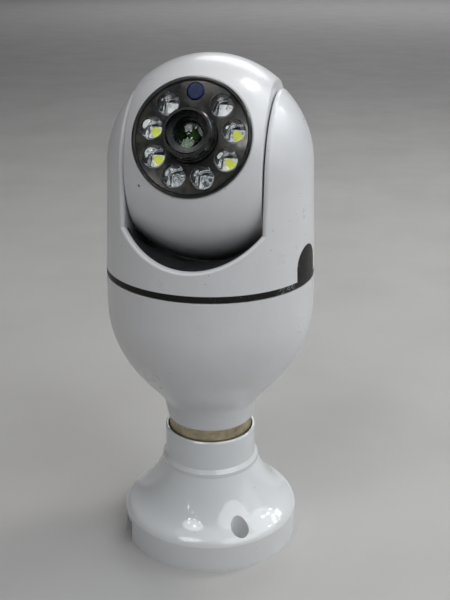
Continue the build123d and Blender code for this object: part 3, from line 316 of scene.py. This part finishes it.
def brass(name, clean, tarnished, low, high):
    """Rolled brass: marks round it and along it, tarnish in clouds, small dark pits."""
    s = Surface(name, Metallic=1.0)
    clouds = s.clouds(5, 5.0, 0.65)
    tone = s.mix(clouds, clean, tarnished)
    tone = s.mix(s.specks(1.4, 0.1, 0.5), tone, (0.10, 0.07, 0.04))
    marks = s.noise(0.5, 3.0, 0.6, squeeze=(1, 1, 0.08))
    rings = s.noise(0.35, 3.0, 0.6, squeeze=(0.08, 0.08, 1))
    s.drive(Base_Color=tone, Roughness=s.ramp(s.maths("ADD", clouds, marks), 0.4, 1.4, low, high))
    s.bump(rings, 0.006, 0.6)
    s.bump(marks, 0.005, 0.5)
    return s.done()


def steel(name, base=(0.62, 0.62, 0.61), low=0.22, high=0.42):
    """Zinc plated or tinned steel, dull in patches, with brushed lines."""
    s = Surface(name, Metallic=1.0)
    clouds = s.clouds(3.5, 5.0, 0.6)
    dull = tuple(0.72 * channel for channel in base)
    tone = s.mix(clouds, base, dull)
    s.drive(Base_Color=tone, Roughness=s.haze(low, high, 1.2, 4.0, 0.6))
    s.bump(s.noise(0.5, 3.0, 0.6, squeeze=(1, 0.1, 1)), 0.004, 0.5)
    return s.done()


def clear_lens():
    """Clear moulded lamp lens: slight flow waves and a dusting that catches the light."""
    s = Surface("clear_lens", Base_Color=(0.96, 0.975, 0.98, 1), Transmission_Weight=1.0, IOR=1.49)
    s.drive(Roughness=s.ramp(s.noise(0.9, 4.0, 0.6), 0.45, 0.8, 0.0, 0.07))
    s.bump(s.noise(1.7, 1.0), 0.01, 0.5)
    return s.done()


def front_lens():
    """Front element: clear glass with a faint green cast and a trace of dust."""
    s = Surface("front_lens", Base_Color=(0.80, 0.95, 0.82, 1), Transmission_Weight=1.0, IOR=1.5)
    s.drive(Roughness=s.ramp(s.noise(2.6, 4.0, 0.6), 0.5, 0.85, 0.0, 0.015))
    return s.done()


def coated_lens():
    """Inner element: dark glass whose coating shows green in patches."""
    s = Surface("coated_lens", IOR=1.3, Specular_IOR_Level=0.2, Specular_Tint=(0.45, 1.0, 0.35, 1))
    tone = s.mix(s.clouds(1.6, 3.0, 0.6, distort=0.8), (0.006, 0.020, 0.006), (0.075, 0.130, 0.038))
    s.drive(Base_Color=tone, Roughness=s.ramp(s.noise(0.8, 3.0), 0.4, 0.8, 0.12, 0.22))
    return s.done()


def phosphor():
    """Yellow lamp gel, grainy and a little translucent, with a painted glow in place of the daylight that
    would reach it through the lens.
    """
    # The emission is a painted glow, not a lit lamp.
    s = Surface("phosphor", IOR=1.42, Emission_Color=(0.72, 0.78, 0.12, 1), Emission_Strength=0.55)
    tone = s.mix(s.clouds(0.25, 3.0), (0.74, 0.79, 0.13), (0.62, 0.66, 0.07))
    s.drive(Base_Color=tone, Roughness=s.ramp(s.noise(0.4, 3.0), 0.3, 0.7, 0.25, 0.45))
    s.bump(s.noise(0.12, 2.0), 0.01, 0.5)
    return s.done()


def lamp_silver_painted_light():
    """Mirror cup of a lamp: crumpled bright streaks of painted daylight reflection between dark ones, in its
    colour and in a painted glow.
    """
    s = Surface("lamp_silver_painted_light", Metallic=0.5, Emission_Strength=0.55)
    # Painted reflections of daylight in the colour, and a painted glow standing in for light reaching the cup
    # through the lens.
    painted_reflection_streaks = s.ramp(s.noise(0.75, 4.0, 0.65, distort=1.6), 0.40, 0.62)
    tone = s.mix(painted_reflection_streaks, (0.10, 0.10, 0.105), (0.84, 0.86, 0.87))
    painted_glow = s.mix(painted_reflection_streaks, (0.012, 0.013, 0.015), (0.52, 0.56, 0.60))
    s.drive(Base_Color=tone, Emission_Color=painted_glow, Roughness=s.ramp(painted_reflection_streaks, 0.2, 0.8, 0.3, 0.15))
    s.bump(painted_reflection_streaks, 0.03, 0.6)
    return s.done()


def lamp_package_painted_light():
    """White lamp body behind the lens, with painted daylight: pale patches in its colour and a painted glow.
    """
    s = Surface("lamp_package_painted_light", IOR=1.48, Emission_Strength=0.7)
    # Painted light: pale patches in the colour and a painted glow, standing in for daylight reaching the lamp
    # through the lens.
    patches = s.ramp(s.noise(0.55, 4.0, 0.6, distort=1.0), 0.38, 0.6)
    tone = s.mix(patches, (0.55, 0.56, 0.55), (0.84, 0.84, 0.82))
    painted_glow = s.mix(patches, (0.10, 0.11, 0.12), (0.72, 0.74, 0.74))
    s.drive(Base_Color=tone, Emission_Color=painted_glow, Roughness=s.ramp(patches, 0.2, 0.8, 0.45, 0.3))
    s.bump(patches, 0.02, 0.5)
    return s.done()


def sensor_blue():
    """Light sensor cap: deep blue tinted plastic, glossy on top."""
    s = Surface("sensor_blue", IOR=1.33)
    tone = s.mix(s.clouds(1.8, 3.0), (0.008, 0.018, 0.080), (0.012, 0.026, 0.110))
    s.drive(Base_Color=tone, Roughness=s.haze(0.14, 0.34, 0.9, 4.0))
    s.bump(s.noise(0.5, 2.0), 0.006, 0.5)
    return s.done()


def board(name, mask, trace):
    """Circuit board: solder mask over a maze of tracks, with tinned pads."""
    s = Surface(name, IOR=1.55, Coat_Weight=0.3, Coat_Roughness=0.15)
    tracks = s.ramp(s.cells(1.6, "DISTANCE_TO_EDGE"), 0.05, 0.09, 1.0, 0.0)
    tone = s.mix(tracks, mask, trace)
    tone = s.mix(s.specks(1.5, 0.28, 0.4), tone, (0.62, 0.60, 0.55))
    s.drive(Base_Color=tone, Roughness=s.haze(0.28, 0.45, 2, 4.0))
    s.bump(tracks, 0.03, 0.7)
    return s.done()


def coil_tape():
    """Wound coil under yellow tape."""
    s = Surface("coil_tape", IOR=1.5)
    wraps = s.noise(0.9, 2.0, squeeze=(0.1, 0.1, 1))
    tone = s.mix(s.ramp(wraps, 0.35, 0.65), (0.72, 0.52, 0.05), (0.55, 0.38, 0.04))
    s.drive(Base_Color=tone, Roughness=s.ramp(s.noise(3), 0.3, 0.7, 0.3, 0.5))
    s.bump(wraps, 0.05, 0.7)
    return s.done()


def lead_sleeve():
    """Insulated mains wire with a soft sheen."""
    s = Surface("lead_sleeve", IOR=1.5, Sheen_Weight=0.1)
    tone = s.mix(s.clouds(6), (0.52, 0.04, 0.035), (0.42, 0.03, 0.03))
    s.drive(Base_Color=tone, Roughness=s.ramp(s.noise(1.5, 3.0), 0.3, 0.7, 0.38, 0.55))
    s.bump(s.noise(0.6, 2.0), 0.01, 0.5)
    return s.done()


def speaker_paper():
    """Pressed speaker cone with a fibre grain."""
    s = Surface("speaker_paper", IOR=1.45, Sheen_Weight=0.2)
    fibres = s.noise(0.5, 4.0, 0.7, distort=2.0)
    tone = s.mix(s.ramp(fibres, 0.35, 0.7), (0.022, 0.022, 0.022), (0.045, 0.043, 0.04))
    s.drive(Base_Color=tone, Roughness=s.ramp(fibres, 0.3, 0.7, 0.6, 0.85))
    s.bump(fibres, 0.03, 0.8)
    return s.done()


def floor_pale():
    """Pale matt floor with faint clouds."""
    s = Surface("floor_pale", IOR=1.45)
    tone = s.mix(s.clouds(90, 5.0), (0.51, 0.50, 0.49), (0.47, 0.46, 0.45))
    s.drive(Base_Color=tone, Roughness=s.ramp(s.noise(30, 4.0), 0.3, 0.7, 0.55, 0.7))
    return s.done()


WHITE_SHELL = shell_white()
BLACK_RIM = black_gloss("rim_black", 0.3, 0.46)
BLACK_LENS = black_gloss("barrel_black", 0.18, 0.32)
CONTACT_BRASS = brass("contact_brass", (0.72, 0.56, 0.27), (0.50, 0.36, 0.17), 0.22, 0.42)
CAP_BRASS = brass("cap_brass", (0.56, 0.50, 0.35), (0.40, 0.35, 0.23), 0.34, 0.52)
STEEL = steel("screw_steel")
MOTOR_STEEL = steel("motor_steel", (0.66, 0.67, 0.68), 0.26, 0.46)
SILVER_PAINTED_LIGHT = lamp_silver_painted_light()
GEAR = plain_moulding("gear_acetal", (0.80, 0.78, 0.69), (0.74, 0.71, 0.61), 0.3, 0.45, 0.006)
DECK = plain_moulding("deck_white", (0.76, 0.76, 0.74), (0.70, 0.70, 0.67), 0.4, 0.6)
TRAY = plain_moulding("tray_black", (0.016, 0.017, 0.019), (0.024, 0.025, 0.028), 0.38, 0.58, 0.012)
CHIP = plain_moulding("chip_black", (0.020, 0.020, 0.020), (0.032, 0.031, 0.030), 0.45, 0.65)
CARD = plain_moulding("card_black", (0.028, 0.028, 0.032), (0.042, 0.042, 0.046), 0.35, 0.55)
CORE = plain_moulding("core_white", (0.78, 0.77, 0.73), (0.70, 0.69, 0.64), 0.4, 0.6)
BUTTON = plain_moulding("button_grey", (0.42, 0.42, 0.43), (0.36, 0.36, 0.37), 0.4, 0.55)
INSULATOR = plain_moulding("insulator_black", (0.014, 0.014, 0.015), (0.024, 0.022, 0.022), 0.08, 0.22, 0.008)
CAPACITOR = plain_moulding("capacitor_sleeve", (0.018, 0.020, 0.034), (0.028, 0.030, 0.046), 0.2, 0.36)
FILM = plain_moulding("antenna_film", (0.10, 0.085, 0.055), (0.07, 0.06, 0.04), 0.25, 0.4)
LAMP_BOARD = board("lamp_board", (0.016, 0.016, 0.017), (0.028, 0.028, 0.030))
GREEN_BOARD = board("green_board", (0.012, 0.090, 0.040), (0.030, 0.160, 0.070))
PACKAGE_PAINTED_LIGHT = lamp_package_painted_light()
LENS_CLEAR = clear_lens()
PHOSPHOR_PAINTED_GLOW = phosphor()

FINISHES = {
    "lampholder_shell": holder_white(),
    "holder_core": CORE,
    "socket_shell": CAP_BRASS,
    "centre_contact_spring": CONTACT_BRASS,
    "side_contact": CONTACT_BRASS,
    "holder_terminals": CONTACT_BRASS,
    "terminal_screws": STEEL,
    "core_screws": STEEL,
    "cap_contact": CONTACT_BRASS,
    "cap_shell": CAP_BRASS,
    "cap_insulator": INSULATOR,
    "lower_housing": WHITE_SHELL,
    "power_board": GREEN_BOARD,
    "transformer": coil_tape(),
    "mains_capacitors": CAPACITOR,
    "mains_leads": lead_sleeve(),
    "base_deck": DECK,
    "deck_screws": STEEL,
    "pan_motor": MOTOR_STEEL,
    "pan_clip": STEEL,
    "pan_pinion": GEAR,
    "pan_table": DECK,
    "pan_gear": GEAR,
    "band_ring": band_black(),
    "inner_tray": TRAY,
    "yoke_shell": WHITE_SHELL,
    "yoke_screws": STEEL,
    "motor_side_cheek": WHITE_SHELL,
    "pivot_side_cheek": WHITE_SHELL,
    "pivot_bushes": CONTACT_BRASS,
    "tilt_motor": MOTOR_STEEL,
    "tilt_pinion": GEAR,
    "speaker": speaker_paper(),
    "head_board": GREEN_BOARD,
    "wifi_antenna": FILM,
    "ball_front_shell": WHITE_SHELL,
    "ball_rear_shell": WHITE_SHELL,
    "face_bezel": bezel_black(),
    "face_window": window_smoke(),
    "led_board": LAMP_BOARD,
    "white_leds": PACKAGE_PAINTED_LIGHT,
    "infrared_leds": PACKAGE_PAINTED_LIGHT,
    "led_lenses": LENS_CLEAR,
    "photosensor": sensor_blue(),
    "lens_collar": BLACK_LENS,
    "lens_barrel": BLACK_LENS,
    "lens_retainer": BLACK_LENS,
    "front_glass": front_lens(),
    "rear_glass": coated_lens(),
    "lens_holder": BLACK_LENS,
    "image_sensor": CHIP,
    "main_board": GREEN_BOARD,
    "board_screws": STEEL,
    "microphone": INSULATOR,
    "tilt_gear": GEAR,
    "wire_hub": GEAR,
    "card_board": GREEN_BOARD,
    "card_socket": MOTOR_STEEL,
    "memory_card": CARD,
    "reset_button": BUTTON,
}
for node_name, finish in FINISHES.items():
    slots = frame["nodes"][node_name].data.materials
    slots.clear()
    slots.append(finish)


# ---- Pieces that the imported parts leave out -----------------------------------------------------
SHARP_ANGLE = math.radians(35)


def mesh_data(name, mesh, finish):
    """The finished mesh with its material."""
    data = bpy.data.meshes.new(name)
    mesh.to_mesh(data)
    mesh.free()
    data.materials.append(finish)
    return data


def shown(name, data):
    """A new object in the scene."""
    made = bpy.data.objects.new(name, data)
    bpy.context.scene.collection.objects.link(made)
    return made


def lathe(name, profile, at, finish, steps=72):
    """Turned solids on the camera ball, one about the z axis of each place in at.

    The profile is a closed ring of (radius, height) points in millimetres.
    """
    mesh = bmesh.new()
    for place in at:
        rings = []
        for step in range(steps):
            angle = 2 * math.pi * step / steps
            rings.append([
                mesh.verts.new(place @ Vector((r * MM * math.cos(angle), r * MM * math.sin(angle), h * MM)))
                for r, h in profile
            ])
        for step in range(steps):
            here, there = rings[step], rings[(step + 1) % steps]
            for index in range(len(profile)):
                after = (index + 1) % len(profile)
                mesh.faces.new((here[index], here[after], there[after], there[index]))
    bmesh.ops.remove_doubles(mesh, verts=mesh.verts, dist=1e-7)
    bmesh.ops.dissolve_degenerate(mesh, edges=mesh.edges, dist=1e-8)
    bmesh.ops.recalc_face_normals(mesh, faces=mesh.faces)
    made = shown(name, mesh_data(name, mesh, finish))
    made.data.shade_smooth()
    made.data.set_sharp_from_angle(angle=SHARP_ANGLE)
    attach(made, "camera_ball")
    return made


def dome(radius, base, top, points=14):
    """Profile points of a rounded top, from the rim to the axis."""
    angles = [math.radians(90 * k / points) for k in range(points + 1)]
    return [(radius * math.cos(angle), base + (top - base) * math.sin(angle)) for angle in angles]


def lamp_places(angles):
    """The frame of each lamp, on the face's own axes."""
    pitch = LAMP_PITCH * MM
    bearings = [math.radians(angle) for angle in angles]
    return [FACE @ Matrix.Translation((pitch * math.cos(b), pitch * math.sin(b), 0)) for b in bearings]


ALL_LAMPS = lamp_places(WHITE_ANGLES + INFRARED_ANGLES)
GAP = 0.02

# Clear lamp lenses: a domed top over a flared stem, hollow underneath where the lamp sits.
LENS_FOOT = 22.6
LENS_HOLLOW = [(0.0, 23.45), (1.3, 23.4), (1.8, 23.1), (1.95, LENS_FOOT)]
LENS_FLARE = [(2.1, LENS_FOOT), (LAMP_RADIUS - 0.06, 24.9)]
lenses = lathe(
    "lamp_lenses",
    LENS_HOLLOW + LENS_FLARE + dome(LAMP_RADIUS, 27.7, LAMP_TOP),
    ALL_LAMPS,
    LENS_CLEAR,
)
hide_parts("led_lenses")

# Black light guards round each lens, between the lamp board and the window.
GUARD_IN = 3.5
GUARD_OUT = 3.8
lathe(
    "light_guards",
    [
        (GUARD_IN, BOARD_FRONT + GAP),
        (GUARD_OUT, BOARD_FRONT + GAP),
        (GUARD_OUT, WINDOW_BACK - GAP),
        (GUARD_IN, WINDOW_BACK - GAP),
    ],
    ALL_LAMPS,
    BLACK_RIM,
)

# Silver cups round each lamp, phosphor gel on the white ones and a stepped die on the infrared ones; cups and
# dies carry painted reflections and a painted glow, the gel a painted glow.
CUP_FOOT = BOARD_FRONT + 0.03
CUP_OUT = 3.42
GEL_RADIUS = 0.86
DIE_RADIUS = 1.05
INSIDE_CHIP = CHIP_TOP - 0.05
lathe(
    "lamp_cups",
    [(1.95, CUP_FOOT), (2.14, BOARD_FRONT + 0.12), (CUP_OUT, 24.8), (CUP_OUT, CUP_FOOT)],
    ALL_LAMPS,
    SILVER_PAINTED_LIGHT,
)
lathe(
    "phosphor_gel",
    [(0.0, INSIDE_CHIP), (GEL_RADIUS, INSIDE_CHIP)] + dome(GEL_RADIUS, CHIP_TOP, CHIP_TOP + 0.14, 6),
    lamp_places(WHITE_ANGLES),
    PHOSPHOR_PAINTED_GLOW,
    steps=40,
)
lathe(
    "infrared_dies",
    [
        (0.0, INSIDE_CHIP),
        (DIE_RADIUS, INSIDE_CHIP),
        (DIE_RADIUS, CHIP_TOP + 0.03),
        (0.5, CHIP_TOP + 0.03),
        (0.4, CHIP_TOP + 0.12),
        (0.0, CHIP_TOP + 0.12),
    ],
    lamp_places(INFRARED_ANGLES),
    SILVER_PAINTED_LIGHT,
    steps=40,
)

# Retaining ring with fine turned steps down to its bore, in place of the plain one.
RING_BORE = 4.35
RING_EDGE = 6.07
RING_BACK = 31.02
STEP_COUNT = 5
STEP_PITCH = 0.32
STEP_FALL = 0.2
ridges = []
for index in range(STEP_COUNT):
    radius = 5.95 - STEP_PITCH * index
    top = 32.95 - STEP_FALL * index
    foot = 32.8 - STEP_FALL * index
    ridges += [(radius, top), (radius - 0.2, top), (radius - 0.24, foot)]
ring = lathe(
    "turned_retainer",
    [(RING_BORE, RING_BACK), (RING_EDGE, RING_BACK), (RING_EDGE, 33.0)] + ridges + [(RING_BORE, 31.8)],
    [FACE],
    BLACK_LENS,
    steps=120,
)
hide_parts("lens_retainer")

# Stops inside the barrel, each narrower and deeper than the last.
STOP_BACK = 29.2
STOP_OUT = 3.48
STOPS = [(3.3, 30.9), (3.15, 30.5), (3.0, 30.1)]
stop_faces = [(STOP_OUT, STOP_BACK), (STOP_OUT, STOPS[0][1])]
for (bore, front), (_, deeper) in zip(STOPS, STOPS[1:] + [(STOP_OUT, STOP_BACK)]):
    stop_faces += [(bore, front), (bore, deeper)]
lathe("lens_stops", stop_faces, [FACE], BLACK_LENS, steps=96)

# ---- Studio -------------------------------------------------------------------------------------
CAMERA_AZIMUTH = math.radians(13.0)
CAMERA_DISTANCE = 0.2707
CAMERA_HEIGHT = 0.18805
CAMERA_PITCH = 0.364
CAMERA_LENS = 52.8
CAMERA_SHIFT = 0.0242

camera_data = bpy.data.cameras.new("camera")
camera_data.lens = CAMERA_LENS
camera_data.sensor_width = 36.0
camera_data.shift_x = CAMERA_SHIFT
camera_data.clip_start = 0.01
camera = shown("camera", camera_data)
camera.location = (
    CAMERA_DISTANCE * math.sin(CAMERA_AZIMUTH),
    -CAMERA_DISTANCE * math.cos(CAMERA_AZIMUTH),
    CAMERA_HEIGHT,
)
camera.rotation_euler = (math.pi / 2 - CAMERA_PITCH, 0.0, CAMERA_AZIMUTH)
bpy.context.scene.camera = camera


LIGHT_TARGET = Vector((0, 0, 0.09))
PANE_POWER = 34.0
PANE_COLOUR = (1.0, 0.98, 0.95)
FLOOR_REACH = 12.0


def softbox(name, azimuth, elevation, distance, width, height, power, colour):
    """An oval area light that faces the object; angles in degrees, lengths in metres, power in watts.

    The azimuth is measured from -Y towards +X.
    """
    light = bpy.data.lights.new(name, "AREA")
    light.shape = "ELLIPSE"
    light.size = width
    light.size_y = height
    light.energy = power
    light.color = colour
    lamp = shown(name, light)
    a, e = math.radians(azimuth), math.radians(elevation)
    away = Vector((math.sin(a) * math.cos(e), -math.cos(a) * math.cos(e), math.sin(e)))
    lamp.location = LIGHT_TARGET + away * distance
    lamp.rotation_euler = away.to_track_quat("Z", "Y").to_euler()
    return lamp


softbox("key", 137, 56, 0.9, 0.20, 0.20, 1.5, (1.0, 0.96, 0.90))
softbox("right_back", 112, 40, 1.0, 0.7, 0.6, 2.1, (0.82, 0.95, 1.0))
softbox("right_front", 58, 42, 1.1, 0.9, 0.9, 4.2, (0.93, 0.97, 1.0))
softbox("right", 90, 20, 1.0, 0.6, 0.6, 0.6, (1.0, 0.87, 0.84))
softbox("top", 0, 88, 1.1, 1.2, 1.2, 2.4, (0.98, 0.97, 1.0))
softbox("front", -24, 56, 1.1, 0.45, 0.45, 1.8, (0.95, 0.97, 0.97))
softbox("left", -90, 30, 1.1, 0.6, 0.6, 0.03, (0.9, 0.9, 1.0))

# A wide light straight above the floor behind the object.
backdrop = softbox("backdrop", 180, 35, 4.0, 3.0, 3.0, 60.0, (0.98, 0.98, 1.0))
backdrop.location = (0.0, 4.2, 2.6)
backdrop.rotation_euler = (0.0, 0.0, 0.0)

# Small panes that break the gloss of the lampholder into patches, as light through leaves does:
# azimuth, elevation, width and height.
PANES = (
    (133, 30, 0.07, 0.10),
    (127, 36, 0.05, 0.05),
    (119, 33, 0.06, 0.08),
    (111, 38, 0.08, 0.05),
    (122, 26, 0.04, 0.04),
    (-28, 26, 0.03, 0.07),
    (-20, 33, 0.03, 0.04),
    (-17, 44, 0.03, 0.06),
    (-8, 49, 0.04, 0.03),
    (-12, 39, 0.02, 0.03),
    (-27, 43, 0.04, 0.06),
    (-30, 51, 0.05, 0.04),
    (-21, 57, 0.04, 0.06),
)
for index, (azimuth, elevation, width, height) in enumerate(PANES):
    power = PANE_POWER * width * height
    softbox(f"pane_{index}", azimuth, elevation, 1.0, width, height, power, PANE_COLOUR)

world = bpy.data.worlds.new("world")
bpy.context.scene.world = world
world.use_nodes = True
background = world.node_tree.nodes["Background"]
background.inputs["Color"].default_value = (0.86, 0.90, 0.95, 1)
background.inputs["Strength"].default_value = 0.02

floor_mesh = bmesh.new()
bmesh.ops.create_grid(floor_mesh, x_segments=1, y_segments=1, size=FLOOR_REACH)
floor = shown("floor", mesh_data("floor", floor_mesh, floor_pale()))

bpy.context.scene.view_settings.view_transform = "Standard"
